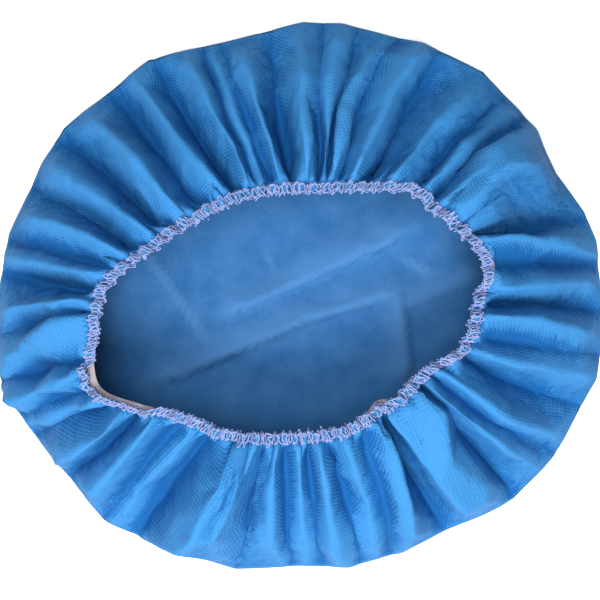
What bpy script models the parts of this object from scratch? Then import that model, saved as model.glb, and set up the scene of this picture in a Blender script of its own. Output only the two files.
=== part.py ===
"""Disposable surgical cap (bouffant): a cut disc of nonwoven fabric, gathered on an elastic tape.

It lies on its crown with the mouth up. Lengths are in metres, +Z is up and +X runs along the cap.
"""

import math

import bpy
import numpy as np

# Sizes of the cap as it lies
CAP_LENGTH = 0.305
CAP_WIDTH = 0.276
RIM_HEIGHT = 0.050
WALL = 0.0014

# Sizes of the mouth, inside the gathered edge
MOUTH_LENGTH = 0.181
MOUTH_WIDTH = 0.113
MOUTH_SHIFT_LEFT = 0.0037
MOUTH_SHIFT_DOWN = 0.0074
HEM_WIDTH = 0.0060

# Sizes of the folds
FOLD_DEPTH = 0.0062
COLUMN_WIDTH = 0.0070
CREASE_HEIGHT = 0.0030
FLAT_SPOT = 0.016
FLAT_FADE = 0.012

# Sizes of the elastic tape under the hem
TAPE_WIDTH = 0.0045
TAPE_THICKNESS = 0.0008
TAPE_GAP = 0.0004
TAPE_INSET = 0.0006
TAPE_PIECES = 120

# Corners of the outline, seen from above.
# Columns: angle from the middle of the cap in degrees, share of the ellipse CAP_LENGTH by CAP_WIDTH.
OUTLINE = (
    (10.5, 1.001),
    (16.2, 0.992),
    (25.3, 0.958),
    (35.1, 0.989),
    (50.6, 1.018),
    (63.6, 1.007),
    (80.9, 1.001),
    (89.2, 0.998),
    (102.8, 0.960),
    (122.4, 0.993),
    (144.9, 0.989),
    (152.9, 0.975),
    (168.3, 0.985),
    (177.1, 0.988),
    (188.3, 1.013),
    (197.5, 1.038),
    (206.8, 1.014),
    (229.1, 1.042),
    (237.6, 1.026),
    (256.9, 1.020),
    (270.2, 0.987),
    (280.6, 1.005),
    (291.5, 0.995),
    (309.3, 0.998),
    (316.7, 1.027),
    (327.9, 1.026),
    (344.2, 1.027),
    (349.5, 1.018),
    (359.2, 1.000),
)

# Line of the fabric's edge, an oval that leans to the upper right and is wavy at the lower right.
# Columns: angle from the middle of the mouth, share of the ellipse MOUTH_LENGTH by MOUTH_WIDTH,
# share of RIM_HEIGHT.
MOUTH = (
    (4.0, 0.945, 0.96),
    (13.4, 1.057, 0.98),
    (26.3, 1.068, 0.97),
    (36.0, 1.096, 0.92),
    (44.3, 1.157, 0.88),
    (57.4, 1.063, 0.84),
    (77.8, 0.994, 0.80),
    (100.7, 0.968, 0.80),
    (118.2, 0.940, 0.84),
    (137.7, 0.875, 0.90),
    (158.3, 0.864, 0.98),
    (172.6, 0.944, 1.04),
    (187.6, 1.001, 1.06),
    (195.7, 1.093, 1.04),
    (202.5, 1.144, 1.04),
    (211.0, 1.070, 1.08),
    (223.1, 0.991, 1.12),
    (243.6, 1.013, 1.14),
    (270.0, 0.984, 1.14),
    (297.7, 0.963, 1.12),
    (307.4, 0.894, 1.06),
    (314.0, 0.842, 1.02),
    (320.2, 0.883, 1.08),
    (327.2, 0.842, 1.00),
    (335.9, 0.823, 1.04),
    (344.7, 0.897, 0.98),
    (353.0, 0.916, 1.00),
)

# Stretches where the fabric's edge stands back and the tape is bare.
# Columns: angle from the middle of the mouth where it starts and where it ends, depth in metres.
BARE = (
    (193.5, 217.0, 0.0044),
    (306.0, 318.0, 0.0022),
)

# Side of the cap between the crown and the hem.
# Columns: share of the way in from the outline to the hem, share of the height of the rim,
# share of a fold's depth.
SIDE = (
    (0.070, 0.000, 0.00),
    (0.020, 0.035, 0.02),
    (0.000, 0.110, 0.06),
    (0.020, 0.230, 0.18),
    (0.110, 0.400, 0.48),
    (0.260, 0.590, 0.85),
    (0.430, 0.760, 1.00),
    (0.610, 0.890, 1.00),
    (0.780, 0.960, 0.90),
    (0.910, 0.990, 0.60),
    (1.000, 1.000, 0.03),
)

# Folds of the side, anticlockwise from +X, each a ridge and the valley that follows it.
# Columns: the ridge's angle at the outline, its angle at the mouth, its share of FOLD_DEPTH,
# then the same three of the valley.
FOLDS = (
    (3.0, 8.8, 0.6, 7.0, 12.6, 0.9),
    (10.0, 17.3, 0.6, 17.5, 21.1, 0.7),
    (27.0, 30.5, 0.7, 31.5, 33.3, 0.2),
    (34.5, 35.7, 0.8, 37.5, 38.0, 0.6),
    (41.0, 42.0, 0.5, 44.0, 44.5, 0.5),
    (52.0, 51.5, 0.1, 61.5, 60.9, 0.8),
    (64.5, 64.1, 0.8, 72.0, 68.9, 0.5),
    (76.0, 72.0, 0.5, 79.0, 74.6, 0.4),
    (82.0, 76.4, 0.4, 85.0, 78.2, 0.6),
    (90.0, 84.2, 0.7, 98.0, 89.9, 0.7),
    (103.0, 96.6, 0.5, 107.5, 100.2, 0.4),
    (111.5, 106.5, 0.6, 122.0, 114.6, 1.0),
    (127.0, 119.6, 0.5, 132.0, 129.9, 0.8),
    (139.0, 141.0, 0.8, 145.5, 148.4, 0.9),
    (152.0, 153.7, 0.5, 158.0, 160.4, 0.7),
    (164.0, 164.8, 0.7, 169.0, 167.5, 0.4),
    (172.0, 170.9, 0.8, 176.0, 174.1, 0.9),
    (182.5, 176.3, 0.4, 187.5, 179.5, 0.3),
    (193.0, 183.3, 0.6, 196.0, 194.0, 0.9),
    (199.5, 196.8, 0.7, 203.0, 200.9, 0.5),
    (205.5, 203.4, 0.5, 208.5, 207.2, 0.6),
    (214.0, 211.0, 0.9, 218.0, 215.2, 0.5),
    (223.5, 219.3, 0.4, 229.5, 225.8, 0.8),
    (233.5, 231.4, 0.4, 238.0, 238.1, 0.8),
    (247.0, 250.5, 0.9, 256.0, 258.4, 0.5),
    (265.5, 264.0, 0.6, 271.0, 271.8, 0.6),
    (278.5, 280.8, 0.8, 283.0, 287.0, 0.6),
    (286.0, 293.9, 0.5, 288.5, 299.4, 0.5),
    (292.0, 306.6, 1.0, 300.5, 311.9, 0.8),
    (310.5, 322.0, 0.7, 317.5, 330.0, 0.9),
    (323.5, 334.0, 0.6, 327.5, 336.0, 0.2),
    (331.0, 338.0, 0.7, 338.5, 342.6, 0.9),
    (346.0, 346.4, 0.6, 349.5, 352.2, 0.3),
    (352.5, 357.7, 0.6, 357.0, 361.9, 0.7),
)

# Creases of the crown.
# Columns: the start and the end as shares of half the length and of half the width,
# share of CREASE_HEIGHT, half the width of the crease as a share of CAP_WIDTH.
CREASES = (
    (-0.49, 0.14, -0.26, -0.20, 0.7, 0.035),
    (-0.28, -0.20, 0.33, 0.18, 0.8, 0.060),
    (-0.49, -0.32, 0.02, -0.10, 1.0, 0.060),
    (0.02, -0.10, 0.59, 0.06, 0.8, 0.055),
    (0.35, 0.00, 0.36, -0.26, 0.8, 0.040),
)

# Rings of the crown. Columns: share of the crown's reach, number of points.
CROWN_RINGS = (
    (0.925, 120),
    (0.830, 100),
    (0.730, 88),
    (0.630, 76),
    (0.530, 64),
    (0.430, 52),
    (0.330, 40),
    (0.230, 28),
    (0.120, 16),
)


def oval_reach(length, width, turn):
    """Distance from the middle of an ellipse to its edge, along the direction turn."""
    across = np.hypot(width * np.cos(turn), length * np.sin(turn))
    return 0.5 * length * width / across


def straight_between(rows, column, degrees):
    """Values of a table column at these angles, with straight lines between its rows."""
    table = np.array(rows)
    return np.interp(degrees % 360.0, table[:, 0], table[:, column], period=360.0)


def smooth_between(rows, column, degrees):
    """The same, with a smooth curve through the rows."""
    table = np.array(rows)
    angles = np.concatenate([table[-2:, 0] - 360.0, table[:, 0], table[:2, 0] + 360.0])
    values = np.concatenate([table[-2:, column], table[:, column], table[:2, column]])
    at = (degrees - table[0, 0]) % 360.0 + table[0, 0]
    right = np.searchsorted(angles, at, side="right")
    slopes = (values[2:] - values[:-2]) / (angles[2:] - angles[:-2])
    gap = angles[right] - angles[right - 1]
    share = (at - angles[right - 1]) / gap
    start = slopes[right - 2] * gap
    finish = slopes[right - 1] * gap
    low = values[right - 1]
    high = values[right]
    bend = 3.0 * (high - low) - 2.0 * start - finish
    twist = 2.0 * (low - high) + start + finish
    return low + start * share + bend * share**2 + twist * share**3


def fold_columns():
    """Angles at the outline and the mouth, and fold share, of each column of points round the side."""
    stops = []
    for row in FOLDS:
        stops.append((row[0], row[1], row[2]))
        stops.append((row[3], row[4], -row[5]))
    first = stops[0]
    stops.append((first[0] + 360.0, first[1] + 360.0, first[2]))
    columns = []
    for here, after in zip(stops, stops[1:]):
        width = math.radians(after[0] - here[0]) * 0.25 * (CAP_LENGTH + CAP_WIDTH)
        steps = max(2, round(width / COLUMN_WIDTH))
        for step in range(steps):
            share = step / steps
            columns.append([a + (b - a) * share for a, b in zip(here, after)])
    return np.array(columns)


def mouth_line(degrees, back):
    """Points of the fabric's edge at these angles, moved back from the opening by this much."""
    turn = np.radians(degrees)
    reach = oval_reach(MOUTH_LENGTH, MOUTH_WIDTH, turn)
    reach = reach * smooth_between(MOUTH, 1, degrees) + back
    height = RIM_HEIGHT * smooth_between(MOUTH, 2, degrees)
    x = reach * np.cos(turn) - MOUTH_SHIFT_LEFT
    y = reach * np.sin(turn) - MOUTH_SHIFT_DOWN
    return np.stack([x, y, height], axis=1)


def bare_depth(degrees):
    """How far the fabric's edge stands back at these angles."""
    depth = np.zeros_like(degrees)
    for start, end, most in BARE:
        inside = (degrees % 360.0 > start) & (degrees % 360.0 < end)
        depth[inside] = most
    return depth


def outline_points(degrees):
    turn = np.radians(degrees)
    reach = oval_reach(CAP_LENGTH, CAP_WIDTH, turn) * straight_between(OUTLINE, 1, degrees)
    return np.stack([reach * np.cos(turn), reach * np.sin(turn), 0.0 * turn], axis=1)


def outward(rings):
    """Unit directions out of a stack of rings, each ring a row of points round the cap."""
    round_it = np.roll(rings, -1, axis=1) - np.roll(rings, 1, axis=1)
    up_it = np.gradient(rings, axis=0)
    out = np.cross(round_it, up_it)
    return out / np.linalg.norm(out, axis=2, keepdims=True)


def side_rings():
    """Rings of points from the edge of the crown to the fabric's edge."""
    columns = fold_columns()
    outline = outline_points(columns[:, 0])
    hem = mouth_line(columns[:, 1], HEM_WIDTH)
    rings = []
    for inward, height, _ in SIDE:
        ring = outline + (hem - outline) * inward
        ring[:, 2] = hem[:, 2] * height
        rings.append(ring)
    plain = np.array(rings)
    swell = np.array([row[2] for row in SIDE])
    offset = FOLD_DEPTH * swell[:, None] * columns[None, :, 2]
    folded = plain + outward(plain) * offset[:, :, None]
    folded[0, :, 2] = 0.0
    edge = mouth_line(columns[:, 1], bare_depth(columns[:, 1]))
    middle = 0.5 * (hem + edge)
    return [*folded, middle, edge]


def crease_heights(points):
    """How far the creases lift the crown off the floor at these points."""
    half = np.array([0.5 * CAP_LENGTH, 0.5 * CAP_WIDTH])
    height = np.zeros(len(points))
    for x0, y0, x1, y1, share, half_width in CREASES:
        start = np.array([x0, y0]) * half
        along = np.array([x1, y1]) * half - start
        place = np.clip((points[:, :2] - start) @ along / (along @ along), 0.0, 1.0)
        away = np.linalg.norm(points[:, :2] - start - place[:, None] * along, axis=1)
        near = np.clip(1.0 - away / (half_width * CAP_WIDTH), 0.0, 1.0)
        height = np.maximum(height, CREASE_HEIGHT * share * near**1.5)
    middle = np.linalg.norm(points[:, :2], axis=1)
    return height * np.clip((middle - FLAT_SPOT) / FLAT_FADE, 0.0, 1.0)


def crown_rings(edge):
    """Rings of the crown inside its edge, from the outermost in."""
    edge_turn = np.arctan2(edge[:, 1], edge[:, 0])
    edge_reach = np.hypot(edge[:, 0], edge[:, 1])
    order = np.argsort(edge_turn)
    rings = []
    for share, count in CROWN_RINGS:
        turn = edge_turn[0] + 2.0 * math.pi * np.arange(count) / count
        reach = share * np.interp(turn, edge_turn[order], edge_reach[order], period=2.0 * math.pi)
        ring = np.stack([reach * np.cos(turn), reach * np.sin(turn), 0.0 * turn], axis=1)
        ring[:, 2] = crease_heights(ring)
        rings.append(ring)
    return rings


def zip_rings(outer, inner, outer_start, inner_start):
    """Triangles between two rings of unlike counts that both run anticlockwise from one direction."""
    faces = []
    i = 0
    j = 0
    outer_share = ring_shares(outer)
    inner_share = ring_shares(inner)
    while i < len(outer) or j < len(inner):
        step_outer = j == len(inner)
        if i < len(outer) and j < len(inner):
            step_outer = outer_share[i + 1] <= inner_share[j + 1]
        here_outer = outer_start + i % len(outer)
        here_inner = inner_start + j % len(inner)
        if step_outer:
            faces.append((here_outer, here_inner, outer_start + (i + 1) % len(outer)))
            i += 1
        else:
            faces.append((here_outer, here_inner, inner_start + (j + 1) % len(inner)))
            j += 1
    return faces


def ring_shares(ring):
    """Turn of each point of a ring from its first point, and 1 at the end."""
    turn = np.arctan2(ring[:, 1], ring[:, 0])
    share = (turn - turn[0]) / (2.0 * math.pi) % 1.0
    share[0] = 0.0
    return np.append(share, 1.0)


def shell_mesh():
    """Points and faces of the fabric, with its faces turned out."""
    side = side_rings()
    crown = crown_rings(side[0])
    rings = [*reversed(side), *crown]
    starts = np.cumsum([0] + [len(ring) for ring in rings])
    faces = []
    for number in range(len(side) - 1):
        count = len(side[0])
        for k in range(count):
            after = (k + 1) % count
            a = starts[number] + k
            b = starts[number] + after
            c = starts[number + 1] + after
            d = starts[number + 1] + k
            faces.append((int(d), int(c), int(b), int(a)))
    for number in range(len(side) - 1, len(rings) - 1):
        faces.extend(
            zip_rings(rings[number], rings[number + 1], int(starts[number]), int(starts[number + 1]))
        )
    middle = int(starts[-1])
    last = int(starts[-2])
    count = len(rings[-1])
    for k in range(count):
        faces.append((last + k, middle, last + (k + 1) % count))
    points = np.concatenate([*rings, np.zeros((1, 3))])
    return points, faces


def tape_mesh():
    """Points and faces of the elastic tape, a loop of rectangular section under the hem."""
    degrees = 360.0 * np.arange(TAPE_PIECES) / TAPE_PIECES
    top = WALL + TAPE_GAP
    corners = (
        (TAPE_INSET + TAPE_WIDTH, top),
        (TAPE_INSET, top),
        (TAPE_INSET, top + TAPE_THICKNESS),
        (TAPE_INSET + TAPE_WIDTH, top + TAPE_THICKNESS),
    )
    rings = []
    for back, below in corners:
        ring = mouth_line(degrees, back)
        ring[:, 2] -= below
        rings.append(ring)
    faces = []
    for number in range(4):
        here = number * TAPE_PIECES
        beside = (number + 1) % 4 * TAPE_PIECES
        for k in range(TAPE_PIECES):
            after = (k + 1) % TAPE_PIECES
            faces.append((here + k, here + after, beside + after, beside + k))
    return np.concatenate(rings), faces


def material(name, colour, roughness):
    made = bpy.data.materials.new(name)
    made.use_nodes = True
    surface = made.node_tree.nodes["Principled BSDF"]
    surface.inputs["Base Color"].default_value = (*colour, 1.0)
    surface.inputs["Roughness"].default_value = roughness
    return made


def add_object(name, points, faces, collection, surface):
    mesh = bpy.data.meshes.new(name)
    mesh.from_pydata([tuple(map(float, point)) for point in points], [], faces)
    mesh.materials.append(surface)
    mesh.shade_smooth()
    mesh.update()
    made = bpy.data.objects.new(name, mesh)
    collection.objects.link(made)
    return made


def clear_scene():
    for old in list(bpy.data.objects):
        bpy.data.objects.remove(old, do_unlink=True)


def build():
    clear_scene()
    collection = bpy.data.collections.new("surgical_cap")
    bpy.context.scene.collection.children.link(collection)
    shell_points, shell_faces = shell_mesh()
    tape_points, tape_faces = tape_mesh()
    low = shell_points.min(axis=0)
    high = shell_points.max(axis=0)
    centre = np.array([0.5 * (low[0] + high[0]), 0.5 * (low[1] + high[1]), low[2]])
    blue = material("nonwoven_blue", (0.033, 0.22, 0.60), 0.75)
    white = material("elastic_white", (0.72, 0.70, 0.66), 0.70)
    shell = add_object("cap_shell", shell_points - centre, shell_faces, collection, blue)
    wall = shell.modifiers.new("wall", "SOLIDIFY")
    wall.thickness = WALL
    wall.offset = -1.0
    add_object("elastic_band", tape_points - centre, tape_faces, collection, white)


build()
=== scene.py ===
"""Looks of the disposable surgical cap: gathered nonwoven cloth, elastic tape and overlock thread."""

import math

import bpy
import numpy as np
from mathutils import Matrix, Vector, noise


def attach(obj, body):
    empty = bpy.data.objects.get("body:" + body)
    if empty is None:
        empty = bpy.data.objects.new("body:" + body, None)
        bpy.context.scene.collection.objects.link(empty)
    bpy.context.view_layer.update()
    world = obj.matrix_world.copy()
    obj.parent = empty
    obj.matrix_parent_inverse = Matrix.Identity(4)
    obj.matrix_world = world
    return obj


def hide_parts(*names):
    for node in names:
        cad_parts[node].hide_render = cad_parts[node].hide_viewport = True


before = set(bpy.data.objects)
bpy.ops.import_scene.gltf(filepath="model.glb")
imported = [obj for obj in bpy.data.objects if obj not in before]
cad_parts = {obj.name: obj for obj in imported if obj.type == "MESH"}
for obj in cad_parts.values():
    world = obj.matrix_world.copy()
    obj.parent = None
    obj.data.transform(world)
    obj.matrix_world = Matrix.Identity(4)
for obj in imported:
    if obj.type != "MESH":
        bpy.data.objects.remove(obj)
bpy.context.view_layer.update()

# Sizes of the cap as it lies, in metres. The side's width is a middling one, seen from above
CAP_LENGTH = 0.305
CAP_WIDTH = 0.276
RIM_HEIGHT = 0.050
SIDE_WIDTH = 0.075
CUT_RADIUS = 0.2285
CLOTH = 0.00035

# Sizes of the mouth, inside the gathered edge, and degrees over which the cloth's edge steps back
# at the ends of a bare stretch
MOUTH_LENGTH = 0.181
MOUTH_WIDTH = 0.113
MOUTH_SHIFT_LEFT = 0.0037
MOUTH_SHIFT_DOWN = 0.0074
HEM_WIDTH = 0.0060
BARE_STEP = 1.5

# Folds of the side. Their middle is a share of the way from the mouth to the outline, their foot a
# share of the way in over which they turn outward from the floor, and a ridge power below 1 makes
# ridges broader than valleys
FOLD_DEPTH = 0.0220
FOLD_MIDDLE = 0.45
FOLD_FOOT = 0.30
RIDGE_POWER = 0.7

# Small gathers along the hem, and the ranges of shares that their sizes are drawn from
GATHERS = 72
GATHER_HEIGHT = 0.0056
GATHER_SWING = 0.0022
GATHER_WIDTHS = (0.55, 1.45)
GATHER_HEIGHTS = (0.35, 1.0)
GATHER_SWINGS = (0.2, 1.0)
GATHER_POWER = 0.9
GATHER_SEED = 7

# Where the side turns to follow the hem and where its gathers swell, each as the start and the width
# of that stretch, in shares of the way in from the outline
HEM_PULL = (0.8, 0.2)
GATHER_RUN = (0.6, 0.4)

# Facets of the side, soft waves of the crown and small crumples: heights and sizes in metres, and
# numbers that pick their patterns. Each pattern has a second layer, so much finer and weaker
FACET_HEIGHT = 0.0060
FACET_SIZE = 0.045
FACET_SEED = 5.0
WAVE_HEIGHT = 0.0050
WAVE_SIZE = 0.062
WAVE_SEED = 53.0
CRUMPLE_HEIGHT = 0.0008
CRUMPLE_SIZE = 0.010
CRUMPLE_SEED = 9.0
CELL_FINER = 2.1
CELL_WEAKER = 0.5
CELL_LEVEL = 0.25

# The crown's waves are raised by this share of their height, end at this share of the way from the
# middle of the crown to its edge, and fade over this share
WAVE_LIFT = 0.4
WAVE_END = 0.90
WAVE_FADE = 0.30

# Height of the crown's creases in metres, how sharp a crease is, and how narrow the painted highlight
# along its crest
CREASE_HEIGHT = 0.0062
CREASE_POWER = 1.4
CREST_HIGHLIGHT_POWER = 2.5

# Stretches over which facets and creases rise at the hem and sink at the crown, as start and width
# in shares of the way, and how many thicknesses of cloth the side stays off the floor
HEM_FADE = (0.10, 0.15)
CROWN_FADE = (0.0, 0.15)
FLOOR_GAP = 3.0

# The cloth is flat like paper between its creases: steps of that smoothing, rounds that even out the
# facets' directions in a step and rounds that turn the facets to them, and the difference between
# two directions that counts as a crease
CRISP_STEPS = 5
CRISP_ROUNDS = 10
TURN_ROUNDS = 6
CREASE_TURN = 0.35

# Rings over which the cloth comes free to turn: at the hem, at the crown after its held rings, and
# above the hem for the panels
HEM_FREE = 4.0
CROWN_HELD = 4.0
CROWN_FREE = 2.0
PANEL_FREE = 8.0

# Between its folds the cloth lies in nearly flat panels. Their number, the size of a middling panel
# in metres, the turn between two panels, how flat a panel becomes, rounds that turn the facets,
# rounds that sort facets into panels, and the seed of their first places
PANELS = 330
PANEL_SIZE = 0.022
PANEL_TURN = 0.30
PANEL_FLATNESS = 0.92
PANEL_ROUNDS = 160
PANEL_SORTS = 12
PANEL_SEED = 3

# Rounds that even out pinched places, how far facets may turn from each other before it, and how
# much of the way a pinched point moves in a round
EASE_ROUNDS = 12
EASE_TURN = 1.6
EASE_SHARE = 0.7

# The cloth's widest line is moved back onto the outline: the start and width of that pull in shares
# of the reach, the same in rings from the crown's edge, and degrees to each side that even it out
OUTLINE_PULL = (0.7, 0.3)
OUTLINE_RINGS = (1.0, 2.0)
OUTLINE_EVEN = 3

# How strongly sharp ridges of the cloth are painted paler, a painted highlight, and valleys deeper,
# a painted shade; how many points away a ridge is compared with the cloth beside it, and the height
# above it in metres that counts in full
PAINTED_LIGHT_GAIN = 9.0
PAINTED_LIGHT_REACH = 5
PAINTED_LIGHT_HEIGHT = 0.008

# Sizes of the elastic tape, points across one of its ribs, how flat a rib is, and how deep its
# grooves are as a share of the thickness
TAPE_WIDTH = 0.0045
TAPE_THICKNESS = 0.0008
TAPE_GAP = 0.0004
TAPE_INSET = 0.0012
TAPE_STEPS = 720
TAPE_RIBS = 6
RIB_POINTS = 4
RIB_POWER = 0.5
RIB_GROOVE = 0.25

# Sizes of the overlock stitching
STITCHES = 245
THREAD = 0.00066
THREAD_FLUFF = 0.4
THREAD_SEED = 11

# How far a thread strays from its course, as one standard deviation: along in stitches, then depth
# and rise in metres. No point strays more than so many of them
STRAY = (0.24, 0.00040, 0.00010)
STRAY_MOST = 1.8

# Points of the sheet. The crown's columns: points of a ring, number of such rings
COLUMNS = 640
SIDE_RINGS = 46
HEM_RINGS = 4
CROWN_RINGS = ((640, 2), (320, 20), (160, 20), (80, 12), (40, 5))

# Angles of the sheet's columns in degrees and in radians, and the steps in rings and columns from a
# facet's first corner to each of its corners
COLUMN_DEGREES = 360.0 * np.arange(COLUMNS) / COLUMNS
COLUMN_TURNS = 2.0 * math.pi * np.arange(COLUMNS) / COLUMNS
CORNERS = ((0, 0), (0, 1), (1, 1), (1, 0))

# The cloth is simulated ten times as large as it is, where Blender's stiffness values suit it. It is
# gathered up to one frame, gripped and stiff some frames later, and has settled at the last one
SIM_SCALE = 10.0
GATHER_FRAMES = 8
GRIP_FRAMES = 3
LAST_FRAME = 22

# Settings of Blender's Cloth
SETTLING = {
    "quality": 5,
    "mass": 0.3,
    "bending_model": "ANGULAR",
    "tension_damping": 5.0,
    "compression_damping": 5.0,
    "shear_damping": 5.0,
    "bending_damping": 0.5,
    "air_damping": 2.0,
    "shrink_min": -0.02,
}

# Stiffness of the cloth.
# Columns: Blender's name, value while the cut is gathered, value when its folds form.
STIFFNESS = (
    ("tension_stiffness", 0.5, 40.0),
    ("compression_stiffness", 0.5, 2.0),
    ("shear_stiffness", 0.5, 20.0),
    ("bending_stiffness", 0.1, 120.0),
)

# How hard the grip pulls, while the cut is gathered and when its folds form, and the rings at the
# crown that are held fast
PIN_STIFFNESS = (50.0, 25.0)
CROWN_PINNED = 3

# Corners of the outline, seen from above.
# Columns: angle from the middle of the cap in degrees, share of the ellipse CAP_LENGTH by CAP_WIDTH.
OUTLINE = (
    (10.5, 1.001),
    (16.2, 0.992),
    (25.3, 0.958),
    (35.1, 0.989),
    (50.6, 1.018),
    (63.6, 1.007),
    (80.9, 1.001),
    (89.2, 0.998),
    (102.8, 0.960),
    (122.4, 0.993),
    (144.9, 0.989),
    (152.9, 0.975),
    (168.3, 0.985),
    (177.1, 0.988),
    (188.3, 1.013),
    (197.5, 1.038),
    (206.8, 1.014),
    (229.1, 1.042),
    (237.6, 1.026),
    (256.9, 1.020),
    (270.2, 0.987),
    (280.6, 1.005),
    (291.5, 0.995),
    (309.3, 0.998),
    (316.7, 1.027),
    (327.9, 1.026),
    (344.2, 1.027),
    (349.5, 1.018),
    (359.2, 1.000),
)

# Line of the mouth.
# Columns: angle from the middle of the mouth, share of the ellipse MOUTH_LENGTH by MOUTH_WIDTH,
# share of RIM_HEIGHT.
MOUTH = (
    (4.0, 0.945, 0.96),
    (13.4, 1.057, 0.98),
    (26.3, 1.068, 0.97),
    (36.0, 1.096, 0.92),
    (44.3, 1.157, 0.88),
    (57.4, 1.063, 0.84),
    (77.8, 0.994, 0.80),
    (100.7, 0.968, 0.80),
    (118.2, 0.940, 0.84),
    (137.7, 0.875, 0.90),
    (158.3, 0.864, 0.98),
    (172.6, 0.944, 1.04),
    (187.6, 1.001, 1.06),
    (195.7, 1.093, 1.04),
    (202.5, 1.144, 1.04),
    (211.0, 1.070, 1.08),
    (223.1, 0.991, 1.12),
    (243.6, 1.013, 1.14),
    (270.0, 0.984, 1.14),
    (297.7, 0.963, 1.12),
    (307.4, 0.894, 1.06),
    (314.0, 0.842, 1.02),
    (320.2, 0.883, 1.08),
    (327.2, 0.842, 1.00),
    (335.9, 0.823, 1.04),
    (344.7, 0.897, 0.98),
    (353.0, 0.916, 1.00),
)

# Stretches of the mouth where the cloth's edge stands back and the tape is bare.
# Columns: angle from the middle of the mouth where it starts and where it ends, depth in metres.
BARE = (
    (193.5, 217.0, 0.0044),
    (306.0, 318.0, 0.0022),
)

# Section of the side, from the edge of the crown to the hem.
# Columns: share of the way in from the outline to the hem, share of the height of the rim,
# share of a fold's depth.
SIDE = (
    (0.016, 0.000, 0.00),
    (0.002, 0.005, 0.03),
    (0.000, 0.016, 0.10),
    (0.020, 0.048, 0.25),
    (0.070, 0.108, 0.50),
    (0.170, 0.220, 0.85),
    (0.330, 0.400, 1.00),
    (0.520, 0.600, 1.00),
    (0.720, 0.790, 0.95),
    (0.880, 0.920, 0.80),
    (1.000, 1.000, 0.25),
)

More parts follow.
